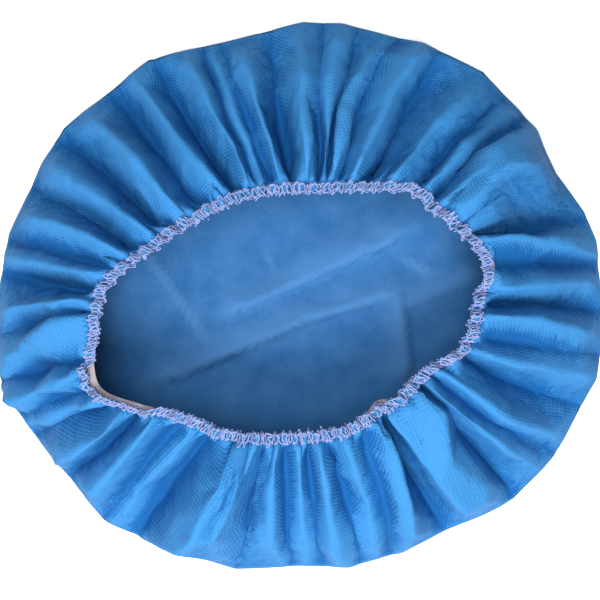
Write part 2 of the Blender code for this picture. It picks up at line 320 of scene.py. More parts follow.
# Ridges and valleys of the side, anticlockwise from +X.
# Columns: angle from the middle of the cap at the outline, half way and at the mouth, then the
# height at the same three places as a share of FOLD_DEPTH, below 0 in a valley.
PLEATS = (
    (3.0, 3.0, 2.5, 0.2, 0.6, 0.5),
    (6.5, 8.0, 9.0, -0.3, -0.9, -0.8),
    (8.2, 11.8, 15.0, 0.3, 0.6, 0.5),
    (15.0, 16.5, 18.5, -0.2, -0.6, -0.8),
    (24.0, 25.0, 22.5, 0.2, 0.4, 0.4),
    (30.0, 30.5, 27.5, 0.5, 0.8, 0.5),
    (34.5, 36.0, 33.5, 0.6, 0.7, 0.2),
    (38.0, 38.5, 36.0, -0.2, -0.5, -0.9),
    (40.5, 41.5, 40.0, 0.2, 0.5, 0.3),
    (43.5, 43.8, 42.5, -0.1, -0.3, -0.8),
    (50.0, 50.5, 49.0, 0.1, 0.2, 0.3),
    (60.0, 61.5, 60.5, -0.2, -0.8, -1.0),
    (64.0, 64.2, 64.0, 0.5, 0.8, 0.6),
    (68.5, 74.0, 70.5, -0.1, -0.6, -0.8),
    (71.5, 76.5, 73.5, 0.3, 0.5, 0.5),
    (77.5, 79.0, 76.5, -0.2, -0.3, -0.4),
    (81.5, 81.2, 78.5, 0.3, 0.5, 0.4),
    (85.0, 83.5, 80.8, -0.2, -0.3, -0.9),
    (89.5, 88.0, 86.0, 0.3, 0.9, 0.7),
    (96.0, 96.5, 94.5, -0.2, -0.8, -0.6),
    (104.0, 102.5, 100.0, 0.2, 0.8, 0.6),
    (107.5, 107.0, 104.0, -0.1, -0.4, -0.8),
    (109.5, 109.6, 108.5, 0.2, 0.5, 0.3),
    (111.2, 111.4, 111.8, -0.2, -0.4, -0.6),
    (115.0, 115.5, 115.5, 0.5, 0.8, 0.5),
    (121.5, 122.0, 121.5, -0.5, -1.3, -1.1),
    (127.0, 127.5, 127.5, 0.4, 0.7, 0.4),
    (132.0, 134.0, 138.0, -0.6, -1.0, -0.9),
    (139.0, 141.0, 146.5, 0.5, 0.9, 0.4),
    (146.0, 148.5, 154.0, -0.7, -1.1, -0.8),
    (152.0, 154.0, 159.0, 0.4, 0.7, 0.4),
    (158.0, 160.2, 164.5, -0.4, -0.8, -0.7),
    (164.0, 165.2, 168.5, 0.6, 0.8, 0.4),
    (169.5, 170.3, 172.0, -0.2, -0.4, -0.4),
    (172.3, 174.0, 175.5, 0.5, 0.6, 0.4),
    (175.5, 177.3, 178.8, -0.4, -0.9, -0.9),
    (183.5, 182.5, 182.0, 0.4, 0.5, 0.4),
    (188.5, 185.8, 184.6, -0.2, -0.2, -0.4),
    (192.0, 188.8, 186.8, 0.4, 0.6, 0.4),
    (194.6, 194.4, 194.8, 0.2, 0.1, 0.1),
    (196.0, 196.5, 197.2, -0.7, -1.2, -0.9),
    (199.5, 199.8, 200.5, 0.9, 1.1, 0.7),
    (203.0, 203.8, 204.4, -0.4, -1.0, -0.8),
    (205.3, 206.0, 207.4, 0.1, 0.4, 0.3),
    (207.8, 208.6, 210.2, -0.3, -1.0, -0.7),
    (214.0, 213.8, 213.5, 0.7, 1.4, 0.9),
    (218.0, 218.0, 217.0, -0.5, -0.9, -0.8),
    (225.0, 222.5, 220.5, 0.7, 0.8, 0.5),
    (228.8, 228.0, 227.0, -0.4, -1.0, -0.9),
    (230.8, 231.0, 232.0, 0.1, 0.2, 0.2),
    (236.0, 236.5, 238.0, -0.8, -1.3, -1.0),
    (240.0, 243.0, 246.0, 1.0, 1.3, 0.5),
    (252.5, 252.5, 251.5, 0.5, 0.8, 0.4),
    (257.0, 257.2, 257.0, -0.2, -0.5, -0.7),
    (265.0, 262.5, 260.8, 0.4, 0.5, 0.4),
    (268.5, 266.5, 265.0, -0.2, -0.4, -0.8),
    (271.5, 270.3, 269.5, 0.1, 0.4, 0.3),
    (275.2, 274.0, 273.0, -0.4, -0.5, -0.7),
    (279.0, 278.2, 277.0, 0.6, 0.7, 0.4),
    (283.0, 282.8, 281.0, -0.2, -0.6, -0.7),
    (287.0, 287.2, 287.0, 0.4, 0.5, 0.5),
    (289.6, 292.4, 294.5, -0.2, -0.6, -0.8),
    (292.5, 296.8, 300.0, 0.8, 1.0, 0.6),
    (302.0, 301.0, 303.5, -0.4, -0.9, -0.8),
    (309.5, 309.0, 308.5, 0.7, 0.8, 0.3),
    (313.8, 315.8, 319.0, 0.5, 0.7, 0.5),
    (316.8, 318.8, 322.3, -0.7, -1.1, -1.0),
    (324.0, 323.8, 325.8, 0.5, 0.7, 0.5),
    (328.2, 327.0, 328.0, -0.1, -0.2, -0.4),
    (331.5, 330.0, 331.5, 0.4, 0.6, 0.4),
    (338.5, 337.0, 338.5, -0.4, -0.9, -1.0),
    (344.8, 343.5, 342.5, 0.3, 0.5, 0.3),
    (348.6, 348.3, 347.3, -0.2, -0.2, -0.5),
    (351.8, 354.0, 352.6, 0.4, 0.7, 0.5),
    (357.2, 357.6, 357.0, -0.4, -0.8, -0.8),
)

# Sharp creases of the side, each a line of three places.
# Columns: angle and share of the way from the mouth to the outline at the start, the middle and
# the end, then height and half width in metres.
SIDE_CREASES = (
    (7.5, 0.98, 11.0, 0.60, 15.0, 0.10, 0.0022, 0.0049),
    (34.5, 0.98, 36.0, 0.70, 36.0, 0.42, 0.0024, 0.0070),
    (50.0, 0.80, 45.5, 0.60, 41.5, 0.40, 0.0022, 0.0063),
    (41.0, 0.35, 36.0, 0.20, 31.0, 0.06, 0.0018, 0.0049),
    (64.0, 0.97, 64.2, 0.50, 64.0, 0.10, 0.0024, 0.0056),
    (71.0, 0.85, 78.5, 0.60, 75.5, 0.30, 0.0020, 0.0056),
    (82.5, 0.52, 88.5, 0.64, 95.5, 0.50, 0.0024, 0.0063),
    (84.5, 0.35, 89.5, 0.23, 94.5, 0.15, -0.0022, 0.0049),
    (89.5, 0.60, 100.0, 0.85, 110.0, 0.90, 0.0024, 0.0077),
    (100.0, 0.55, 93.5, 0.22, 97.0, 0.08, -0.0026, 0.0049),
    (109.5, 0.55, 110.5, 0.30, 112.0, 0.06, 0.0020, 0.0042),
    (158.0, 0.93, 154.0, 0.82, 150.0, 0.70, 0.0020, 0.0049),
    (172.0, 0.98, 172.5, 0.75, 175.5, 0.20, 0.0022, 0.0049),
    (194.0, 0.95, 188.0, 0.40, 186.0, 0.15, 0.0020, 0.0056),
    (216.0, 0.95, 222.0, 0.86, 228.0, 0.76, 0.0020, 0.0063),
    (228.0, 0.75, 222.0, 0.45, 220.0, 0.30, 0.0018, 0.0056),
    (205.5, 0.60, 207.0, 0.35, 208.5, 0.12, 0.0016, 0.0039),
    (229.5, 0.65, 231.0, 0.42, 232.5, 0.20, 0.0018, 0.0042),
    (239.0, 0.98, 241.0, 0.60, 245.0, 0.30, 0.0026, 0.0063),
    (266.5, 0.97, 263.5, 0.60, 261.0, 0.25, 0.0018, 0.0042),
    (291.0, 0.68, 286.0, 0.47, 281.0, 0.28, -0.0022, 0.0049),
    (291.5, 0.97, 296.0, 0.60, 301.0, 0.12, 0.0028, 0.0056),
    (306.5, 0.60, 313.0, 0.37, 319.0, 0.20, 0.0024, 0.0063),
    (314.0, 0.80, 317.0, 0.50, 322.5, 0.08, 0.0022, 0.0049),
    (331.5, 0.85, 329.0, 0.45, 330.0, 0.12, 0.0018, 0.0049),
    (329.5, 0.50, 334.0, 0.20, 337.0, 0.05, 0.0018, 0.0042),
    (350.5, 0.75, 343.5, 0.50, 340.5, 0.12, 0.0026, 0.0063),
    (350.5, 0.70, 354.8, 0.42, 353.0, 0.08, 0.0022, 0.0056),
)

# Creases of the crown, steps that rise gently on one side and drop on the other.
# Columns: the start and the end as shares of half the length and of half the width,
# share of CREASE_HEIGHT, width of its left side and of its right side in metres.
CREASES = (
    (-0.187, -0.045, 0.302, 0.197, 1.0, 0.026, 0.0042),
    (-0.403, -0.291, 0.020, -0.088, 1.1, 0.024, 0.0042),
    (0.020, -0.088, 0.302, 0.002, 1.1, 0.022, 0.0042),
    (0.354, -0.027, 0.561, 0.060, 0.5, 0.016, 0.0050),
    (-0.489, 0.136, -0.272, -0.216, 0.3, 0.0050, 0.0050),
    (-0.102, 0.136, -0.059, 0.038, 0.2, 0.004, 0.0030),
    (0.331, -0.009, 0.357, -0.262, 0.8, 0.0045, 0.0160),
    (0.354, 0.136, 0.430, 0.086, 0.3, 0.003, 0.0060),
)

# How firmly the folds are led to their places while the cloth settles.
# Columns: share of the way from the hem to the crown, grip.
GRIP = (
    (0.00, 0.90),
    (0.16, 0.75),
    (0.30, 0.55),
    (0.72, 0.55),
    (0.92, 0.80),
    (1.00, 0.80),
)

# Courses of the overlock threads.
# Columns: share of a stitch along the edge, depth from the edge and rise off the cloth in metres.
UPPER_LOOPER = (
    (0.05, 0.0008, 0.0006),
    (0.00, 0.0024, 0.0008),
    (0.12, 0.0042, 0.0007),
    (0.32, 0.0050, 0.0006),
    (0.52, 0.0042, 0.0007),
    (0.60, 0.0024, 0.0008),
    (0.56, 0.0008, 0.0006),
    (0.80, 0.0002, 0.0004),
)
LOWER_LOOPER = (
    (0.00, 0.0046, -0.0009),
    (0.30, 0.0022, -0.0011),
    (0.52, -0.0003, -0.0006),
    (0.62, -0.0006, 0.0002),
    (0.74, 0.0004, -0.0009),
    (0.88, 0.0030, -0.0011),
)
NEEDLE = (
    (0.10, 0.0040, 0.0001),
    (0.30, 0.0043, 0.0008),
    (0.70, 0.0039, 0.0008),
    (0.90, 0.0041, 0.0001),
)
EDGE_CHAIN = (
    (0.00, 0.0006, 0.0006),
    (0.30, -0.0002, 0.0009),
    (0.58, 0.0002, 0.0007),
    (0.66, 0.0011, 0.0009),
    (0.50, 0.0012, 0.0007),
    (0.72, 0.0005, 0.0005),
)
THREADS = (
    ("upper_looper_thread", UPPER_LOOPER),
    ("lower_looper_thread", LOWER_LOOPER),
    ("needle_thread", NEEDLE),
    ("edge_chain_thread", EDGE_CHAIN),
)

# Looks of the two faces of the cloth: the deep and the pale colour as linear red, green and blue,
# roughness, how pale the lattice is between its bonded dots, shine, and how strongly the painted
# highlight on ridges and crease crests and the painted shade in valleys show
OUTSIDE_LOOK = {
    "deep": (0.006, 0.080, 0.27),
    "pale": (0.034, 0.185, 0.45),
    "roughness": 0.65,
    "bond_depth": 0.75,
    "shine": 0.05,
    "painted_light_strength": 1.8,
}
INSIDE_LOOK = {
    "deep": (0.010, 0.082, 0.250),
    "pale": (0.042, 0.142, 0.345),
    "roughness": 0.80,
    "bond_depth": 0.12,
    "shine": 0.10,
    "painted_light_strength": 1.4,
}

# Pattern of the cloth on its flat cut: bonded dots across the cut, the turn of their rows in
# degrees, how far they stray, where a dot's soft edge starts and ends, then how much finer the
# fibres are one way than the other, the fibres and the mottled clouds as Blender's noise, and the
# share of the clouds in the tone
DOTS_ACROSS = 308.0
DOT_ROW_TURN = 38.0
DOT_STRAY = 0.12
DOT_EDGE = (0.28, 0.48)
FIBRE_STRETCH = 3.0
FIBRES = {"Scale": 420.0, "Detail": 4.0, "Roughness": 0.65}
CLOUDS = {"Scale": 34.0, "Detail": 3.0, "Roughness": 0.6}
CLOUD_SHARE = 0.8

# Tones that turn to the deep and to the pale colour, without dots and without the painted ridge
# highlight and valley shade
TONES = (0.65, 1.15)

# Cells in the plane, one unit wide, as Blender's Voronoi has them
FLAT_CELLS = {"voronoi_dimensions": "2D", "Scale": 1.0}

# Relief of each material: strength, depth in metres
CLOTH_RELIEF = (0.5, 0.0004)
TAPE_RELIEF = (0.5, 0.0003)
THREAD_RELIEF = (0.4, 0.0002)

# Colours of the braid's threads and of the painted shade in the gaps between them, the braid's cells
# along and across the tape, and their stray
TAPE_THREAD_AND_GAP_SHADE_COLOURS = ((0.30, 0.28, 0.32), (0.17, 0.16, 0.20))
TAPE_ROUGHNESS = 0.8
BRAID_CELLS = (500.0, 26.0, 1.0)
BRAID_STRAY = 0.5

# Colours of the stitching thread, from the shade between its fibres to the fibres
THREAD_COLOURS = ((0.06, 0.14, 0.38), (0.31, 0.35, 0.58))
THREAD_ROUGHNESS = 0.85
THREAD_FIBRES = {"Scale": 1500.0, "Detail": 2.0}

# The floor, in metres
FLOOR_SIZE = 6.0
FLOOR_DROP = 0.0004
FLOOR_COLOUR = (0.93, 0.93, 0.93)
FLOOR_ROUGHNESS = 0.9

# Lamps, all aimed at the middle of the cap.
# Columns: name, angle around the cap and angle above the floor in degrees, width in metres, watts.
LAMPS = (
    ("key", 271.0, 53.0, 0.7, 26.5),
    ("side", 160.0, 74.0, 0.9, 12.5),
    ("top", 0.0, 88.0, 0.6, 5.0),
)
LAMP_DISTANCE = 1.3
LAMP_COLOUR = (1.0, 0.97, 0.92)
STUDIO_COLOUR = (0.70, 0.87, 1.0)
STUDIO_STRENGTH = 0.10

# The camera looks straight down. Place in metres, focal length and sensor in millimetres
CAMERA_PLACE = (0.0005, -0.00225, 0.650)
CAMERA_LENS = 77.3
CAMERA_SENSOR = 36.0


def oval_reach(length, width, turn):
    """Distance from the middle of an ellipse to its edge, along the direction turn."""
    across = np.hypot(width * np.cos(turn), length * np.sin(turn))
    return 0.5 * length * width / across


def ramp(value, start, width):
    """Share of the way through a stretch that starts here and is this wide, from 0 to 1."""
    return np.clip((value - start) / width, 0.0, 1.0)


def eased(low, high, start, finish, share):
    """Values this share of the way from low to high, on a curve with these slopes at its ends."""
    bend = 3.0 * (high - low) - 2.0 * start - finish
    twist = 2.0 * (low - high) + start + finish
    return low + start * share + bend * share**2 + twist * share**3


def smooth_between(rows, column, degrees):
    """Values of a table column at these angles, on a smooth closed curve through its rows."""
    table = np.array(rows)
    angles = np.concatenate([table[-2:, 0] - 360.0, table[:, 0], table[:2, 0] + 360.0])
    values = np.concatenate([table[-2:, column], table[:, column], table[:2, column]])
    at = (degrees - table[0, 0]) % 360.0 + table[0, 0]
    right = np.searchsorted(angles, at, side="right")
    slopes = (values[2:] - values[:-2]) / (angles[2:] - angles[:-2])
    gap = angles[right] - angles[right - 1]
    share = (at - angles[right - 1]) / gap
    start, finish = slopes[right - 2] * gap, slopes[right - 1] * gap
    return eased(values[right - 1], values[right], start, finish, share)


def mouth_line(degrees, outward):
    """Points of the mouth's line at these angles, moved outward by this much."""
    turn = np.radians(degrees)
    reach = oval_reach(MOUTH_LENGTH, MOUTH_WIDTH, turn)
    reach = reach * smooth_between(MOUTH, 1, degrees) + outward
    height = RIM_HEIGHT * smooth_between(MOUTH, 2, degrees)
    x = reach * np.cos(turn) - MOUTH_SHIFT_LEFT
    y = reach * np.sin(turn) - MOUTH_SHIFT_DOWN
    return np.stack([x, y, height], axis=-1)


def mouth_degrees(degrees):
    """Angles round the middle of the mouth of the places seen at these angles from the cap's middle."""
    own = np.arange(-360.0, 720.0, 0.5)
    points = mouth_line(own, 0.0)
    seen = np.degrees(np.unwrap(np.arctan2(points[:, 1], points[:, 0])))
    seen += 360.0 * round((own[0] - seen[0]) / 360.0)
    return np.interp(degrees, seen, own)


def bare_depth(degrees):
    """How far the cloth's edge stands back from the mouth's line."""
    depth = np.zeros_like(degrees)
    for start, end, most in BARE:
        into = np.minimum(degrees % 360.0 - start, end - degrees % 360.0)
        depth = np.maximum(depth, most * ramp(into, 0.0, BARE_STEP))
    return depth


def outline_points(degrees):
    """Points of the outline at these angles, on straight lines between its corners."""
    table = np.array(OUTLINE)
    corner_turn = np.radians(table[:, 0])
    reach = oval_reach(CAP_LENGTH, CAP_WIDTH, corner_turn) * table[:, 1]
    corners = np.stack([reach * np.cos(corner_turn), reach * np.sin(corner_turn)], axis=-1)
    place = (degrees - table[0, 0]) % 360.0 + table[0, 0]
    number = np.searchsorted(table[:, 0], place, side="right") - 1
    start, end = corners[number], np.roll(corners, -1, axis=0)[number]
    turn = np.radians(degrees)
    ray = np.stack([np.cos(turn), np.sin(turn)], axis=-1)
    chord = end - start
    reach = start[:, 0] * chord[:, 1] - start[:, 1] * chord[:, 0]
    reach = reach / (ray[:, 0] * chord[:, 1] - ray[:, 1] * chord[:, 0])
    return np.stack([reach * ray[:, 0], reach * ray[:, 1], 0.0 * turn], axis=-1)


def unit(vectors):
    """The same directions, each one unit long."""
    return vectors / np.linalg.norm(vectors, axis=-1, keepdims=True)


def outward(rings):
    """Unit directions out of a stack of rings, each ring a row of points round the cap."""
    round_it = np.roll(rings, -1, axis=1) - np.roll(rings, 1, axis=1)
    up_it = np.gradient(rings, axis=0)
    return unit(np.cross(up_it, round_it))


def side_section():
    """The section's table at even steps of its own length, with rounded turns, from the hem down."""
    table = np.array(SIDE)
    steps = np.hypot(np.diff(table[:, 0]) * SIDE_WIDTH, np.diff(table[:, 1]) * RIM_HEIGHT)
    length = np.concatenate([[0.0], np.cumsum(steps)])
    at = np.linspace(length[-1], 0.0, SIDE_RINGS)
    slopes = np.gradient(table, length, axis=0)
    right = np.clip(np.searchsorted(length, at, side="right"), 1, len(length) - 1)
    gap = (length[right] - length[right - 1])[:, None]
    share = (at - length[right - 1])[:, None] / gap
    start, finish = slopes[right - 1] * gap, slopes[right] * gap
    return eased(table[right - 1], table[right], start, finish, share)


def pleat_table():
    """The pleats' table with its last row before its first and its first row after its last."""
    table = np.array(PLEATS)
    turn = np.array([360.0, 360.0, 360.0, 0.0, 0.0, 0.0])
    return np.vstack([table[-1] - turn, table, table[0] + turn])


def ridged(phi, angles, heights):
    """Heights at these angles, on a line with broad ridges and narrow valleys."""
    right = np.clip(np.searchsorted(angles, phi, side="right"), 1, len(angles) - 1)
    low, high = heights[right - 1], heights[right]
    share = (phi - angles[right - 1]) / (angles[right] - angles[right - 1])
    rising = low + (high - low) * share**RIDGE_POWER
    falling = high + (low - high) * (1.0 - share) ** RIDGE_POWER
    return np.where(high > low, rising, falling)


def pleat_course(share):
    """Angles and heights of the columns at this share of the way from the mouth to the outline."""
    table = pleat_table()
    phi = COLUMN_DEGREES
    outline, middle, mouth = (np.interp(phi, table[:, 0], table[:, k]) for k in (0, 1, 2))
    heights = [ridged(phi, table[:, 0], table[:, k]) for k in (5, 4, 3)]
    if share < FOLD_MIDDLE:
        part = share / FOLD_MIDDLE
        return (1 - part) * mouth + part * middle, (1 - part) * heights[0] + part * heights[1]
    part = (share - FOLD_MIDDLE) / (1.0 - FOLD_MIDDLE)
    return (1 - part) * middle + part * outline, (1 - part) * heights[1] + part * heights[2]


def gathers(degrees):
    """Share of a gather's height at these angles of the mouth, and the swing of the edge."""
    random = np.random.default_rng(GATHER_SEED)
    widths = random.uniform(*GATHER_WIDTHS, GATHERS)
    bounds = np.concatenate([[0.0], np.cumsum(widths)]) / widths.sum() * 360.0
    place = degrees % 360.0
    number = np.clip(np.searchsorted(bounds, place, side="right") - 1, 0, GATHERS - 1)
    share = (place - bounds[number]) / (bounds[number + 1] - bounds[number])
    crest = np.sin(math.pi * share) ** GATHER_POWER
    height = random.uniform(*GATHER_HEIGHTS, GATHERS)[number]
    swing = random.uniform(*GATHER_SWINGS, GATHERS)[number]
    return height * crest, swing * (crest - 0.5)


def led_rings():
    """Rings of points of the hem and the side, from the cloth's edge to the crown, as they are led."""
    rim_degrees = mouth_degrees(pleat_course(0.0)[0])
    hump, swing = gathers(rim_degrees)
    bare = bare_depth(rim_degrees)
    edge = mouth_line(rim_degrees, bare + GATHER_SWING * swing)
    hem = mouth_line(rim_degrees, HEM_WIDTH + 0.5 * bare + GATHER_SWING * swing)
    rings = [edge + (hem - edge) * step / HEM_RINGS for step in range(HEM_RINGS)]
    relief = [0.0 * rim_degrees] * HEM_RINGS
    swell = [1.0] * HEM_RINGS
    steep = [1.0] * HEM_RINGS
    for inward, height, share in side_section():
        degrees, fold = pleat_course(1.0 - inward)
        start = outline_points(degrees)
        end = mouth_line(mouth_degrees(degrees), HEM_WIDTH)
        end += (hem - end) * ramp(inward, *HEM_PULL)
        ring = start + (end - start) * inward
        ring[:, 2] = end[:, 2] * height
        rings.append(ring)
        relief.append(FOLD_DEPTH * share * fold)
        swell.append(ramp(inward, *GATHER_RUN))
        steep.append(inward)
    rings = np.array(rings)
    offset = np.array(relief) + GATHER_HEIGHT * np.array(swell)[:, None] * hump[None, :]
    lean = ramp(np.array(steep), 0.0, FOLD_FOOT)[:, None, None]
    away = outward(rings) * lean
    away[:, :, 2] += 1.0 - lean[:, :, 0]
    rings += unit(away) * offset[:, :, None]
    rings[-1, :, 2] = 0.0
    return rings


def flat_rings(rings):
    """The same rings as they lie in the flat cut."""
    crown_edge = np.hypot(rings[-1, :, 0], rings[-1, :, 1])
    share = np.linspace(1.0, 0.0, len(rings))[:, None]
    reach = crown_edge + (CUT_RADIUS - crown_edge) * share
    return np.stack([reach * np.cos(COLUMN_TURNS), reach * np.sin(COLUMN_TURNS), 0.0 * reach], axis=-1)


def ring_faces(counts):
    """Faces between rings that each have as many points as the one before, or half as many."""
    faces = []
    start = 0
    for count, after in zip(counts, counts[1:]):
        inner = start + count
        ratio = count // after
        for k in range(after):
            right = (k + 1) % after
            a = start + k * ratio
            b = start + (k * ratio + 1) % count
            if ratio == 1:
                faces.append((inner + k, inner + right, b, a))
                continue
            c = start + (k * ratio + 2) % count
            faces.append((inner + k, b, a))
            faces.append((inner + k, inner + right, b))
            faces.append((inner + right, c, b))
        start = inner
    return faces


def new_piece(name, points, faces):
    """A smooth mesh object of these points and faces."""
    mesh = bpy.data.meshes.new(name)
    mesh.from_pydata([tuple(map(float, p)) for p in points], [], faces)
    mesh.shade_smooth()
    mesh.update()
    piece = bpy.data.objects.new(name, mesh)
    bpy.context.scene.collection.objects.link(piece)
    return piece


def select_only(piece):
    """Selects this piece alone, for Blender's operators."""
    bpy.ops.object.select_all(action="DESELECT")
    bpy.context.view_layer.objects.active = piece
    piece.select_set(True)


def key_values(owner, name, rows):
    """Keys a value of Blender's at these frames."""
    for at, value in rows:
        setattr(owner, name, value)
        owner.keyframe_insert(name, frame=at)


def pin_rings(trial, count):
    """Holds each ring of the trial cloth as firmly as the grip's table says."""
    held = trial.vertex_groups.new(name="held")
    table = np.array(GRIP)
    for ring in range(count):
        grip = float(np.interp(ring / (count - 1), table[:, 0], table[:, 1]))
        if ring <= HEM_RINGS or ring >= count - CROWN_PINNED:
            grip = 1.0
        held.add(list(range(ring * COLUMNS, (ring + 1) * COLUMNS)), grip, "REPLACE")


def add_cloth(trial):
    """Blender's Cloth on the trial, limp while it is gathered and stiff when its folds form."""
    cloth = trial.modifiers.new("gather", "CLOTH")
    settings = cloth.settings
    for name, value in SETTLING.items():
        setattr(settings, name, value)
    settings.effector_weights.gravity = 0.0
    settings.vertex_group_mass = "held"
    taut = GATHER_FRAMES + GRIP_FRAMES
    for name, limp, stiff in STIFFNESS:
        key_values(settings, name, ((1, limp), (GATHER_FRAMES, limp), (taut, stiff)))
    firm, eased_off = PIN_STIFFNESS
    rows = ((1, firm), (GATHER_FRAMES + 1, firm), (taut + 1, eased_off))
    key_values(settings, "pin_stiffness", rows)
    cloth.collision_settings.use_collision = False
    cloth.collision_settings.use_self_collision = False
    cloth.point_cache.frame_start = 1
    cloth.point_cache.frame_end = LAST_FRAME


def settle(rings, flat):
    """Gathers the flat cut onto the led rings with Blender's Cloth and lets its folds form."""
    count = len(rings)
    trial = new_piece("gathering", flat.reshape(-1, 3) * SIM_SCALE, ring_faces([COLUMNS] * count))
    trial.shape_key_add(name="cut")
    gathered = trial.shape_key_add(name="gathered")
    places = np.asarray(rings.reshape(-1, 3) * SIM_SCALE, np.float32)
    gathered.data.foreach_set("co", places.ravel())
    key_values(gathered, "value", ((1, 0.0), (GATHER_FRAMES, 1.0)))
    pin_rings(trial, count)
    add_cloth(trial)
    for number in range(1, LAST_FRAME + 1):
        bpy.context.scene.frame_set(number)
    settled = trial.evaluated_get(bpy.context.evaluated_depsgraph_get()).to_mesh()
    points = np.empty(len(settled.vertices) * 3, np.float32)
    settled.vertices.foreach_get("co", points)
    mesh = trial.data
    bpy.data.objects.remove(trial)
    bpy.data.meshes.remove(mesh)
    for action in list(bpy.data.actions):
        bpy.data.actions.remove(action)
    bpy.context.scene.frame_set(1)
    return points.astype(np.float64).reshape(rings.shape) / SIM_SCALE


def press_line(x, y, line, height, left, right):
    """Height at these points of a crease along a line of places, this wide on its left and right."""
    here = np.stack([x, y], axis=-1)
    near = np.zeros(len(x))
    for start, end in zip(line, line[1:]):
        along = end - start
        place = np.clip((here - start) @ along / (along @ along), 0.0, 1.0)
        away = here - start - place[:, None] * along
        on_left = along[0] * away[:, 1] - along[1] * away[:, 0] > 0.0
        reach = np.linalg.norm(away, axis=1) / np.where(on_left, left, right)
        near = np.maximum(near, np.clip(1.0 - reach, 0.0, 1.0))
    return height * near**CREASE_POWER


def side_place(degrees, share):
    """Place in the plane, this share of the way from the mouth to the outline."""
    degrees = np.array([degrees])
    rim = mouth_line(mouth_degrees(degrees), HEM_WIDTH)[0, :2]
    return rim + (outline_points(degrees)[0, :2] - rim) * share


def cells(flat, size, seed):
    """Heights of irregular facets of about this size, at these places of the flat cut."""
    height = np.empty(len(flat))
    for k, (x, y) in enumerate(flat[:, :2]):
        place = Vector((x / size, y / size, seed))
        height[k] = abs(noise.noise(place)) + CELL_WEAKER * abs(noise.noise(place * CELL_FINER))
    return height - CELL_LEVEL


def beside(grid, ring, column):
    """The grid moved by so many rings and columns, its first and last rings repeated."""
    moved = np.roll(grid, -column, axis=1)
    if ring > 0:
        moved = np.concatenate([moved[ring:], np.repeat(moved[-1:], ring, axis=0)])
    if ring < 0:
        moved = np.concatenate([np.repeat(moved[:1], -ring, axis=0), moved[:ring]])
    return moved


def four_beside(grid):
    """Mean of the four points beside each point of the grid."""
    return 0.25 * (beside(grid, 0, 1) + beside(grid, 0, -1) + beside(grid, 1, 0) + beside(grid, -1, 0))


def quad_corners(points):
    """The four corners of each facet of a grid of points, in turn."""
    lower, upper = points[:-1], points[1:]
    return lower, np.roll(lower, -1, axis=1), np.roll(upper, -1, axis=1), upper


def quad_normals(points):
    """Directions of the facets of a grid of points, and their areas."""
    a, b, c, d = quad_corners(points)
    normals = np.cross(c - a, d - b)
    area = np.linalg.norm(normals, axis=-1, keepdims=True)
    return normals / area, area


def facet_normals(points):
    """Directions of the facets of a grid of points, each evened out with those like it."""
    normals, area = quad_normals(points)
    for _ in range(CRISP_ROUNDS):
        total = np.zeros_like(normals)
        for ring in (-1, 0, 1):
            for column in (-1, 0, 1):
                other = beside(normals, ring, column)
                apart = np.linalg.norm(other - normals, axis=-1, keepdims=True)
                total += other * np.exp(-((apart / CREASE_TURN) ** 2)) * beside(area, ring, column)
        normals = unit(total)
    return normals


def panel_normals(points):
    """Directions of the facets of a grid of points, evened out over panels that lie nearly flat."""
    normals, area = quad_normals(points)
    area = area.ravel()
    own = normals.reshape(-1, 3)
    a, b, c, d = quad_corners(points)
    middle = 0.25 * (a + b + c + d).reshape(-1, 3)
    kind = np.concatenate([middle / PANEL_SIZE, own / PANEL_TURN], axis=1)
    random = np.random.default_rng(PANEL_SEED)
    centres = kind[random.choice(len(kind), PANELS, replace=False)]
    for _ in range(PANEL_SORTS):
        apart = (centres**2).sum(axis=1) - 2.0 * kind @ centres.T
        panel = apart.argmin(axis=1)
        weight = np.maximum(np.bincount(panel, area, PANELS), 1e-12)
        for column in range(kind.shape[1]):
            centres[:, column] = np.bincount(panel, area * kind[:, column], PANELS) / weight
    flat = unit(centres[:, 3:])[panel]
    return unit(PANEL_FLATNESS * flat + (1.0 - PANEL_FLATNESS) * own).reshape(normals.shape)


def turn_facets(points, normals, rounds, free):
    """The grid of points moved so that its facets turn to these directions."""
    for _ in range(rounds):
        corners = quad_corners(points)
        middle = sum(corners) / 4.0
        move = np.zeros_like(points)
        for number, (row, column) in enumerate(CORNERS):
            lean = np.sum(normals * (middle - corners[number]), axis=-1, keepdims=True)
            move[row : len(points) - 1 + row] += np.roll(normals * lean, column, axis=1)
        points = points + 0.25 * move * free[:, None, None]
    return points


def crisp(rings):
    """The same cloth with flat facets and sharp creases, as paper-like cloth folds."""
    points = rings.copy()
    count = len(points)
    ring = np.arange(count)
    free = ramp(ring, HEM_RINGS, HEM_FREE) * ramp(count - ring, CROWN_HELD, CROWN_FREE)
    for _ in range(CRISP_STEPS):
        points = turn_facets(points, facet_normals(points), TURN_ROUNDS, free)
    free *= ramp(ring, 2.0 * HEM_RINGS, PANEL_FREE)
    points = turn_facets(points, panel_normals(points), PANEL_ROUNDS, free)
    return ease_pinches(points, free)


def ease_pinches(points, free):
    """The grid of points evened out where neighbouring facets fold over each other."""
    for _ in range(EASE_ROUNDS):
        normals = quad_normals(points)[0]
        turned = np.zeros(points.shape[:2])
        for ring, column in ((0, 1), (1, 0)):
            apart = 1.0 - np.sum(normals * beside(normals, ring, column), axis=-1)
            for row, step in CORNERS:
                turned[row : len(points) - 1 + row] += np.roll(apart, step, axis=1)
        pinched = ramp(turned, EASE_TURN, 1.0) * free[:, None]
        points = points + (four_beside(points) - points) * (EASE_SHARE * pinched)[:, :, None]
    return points


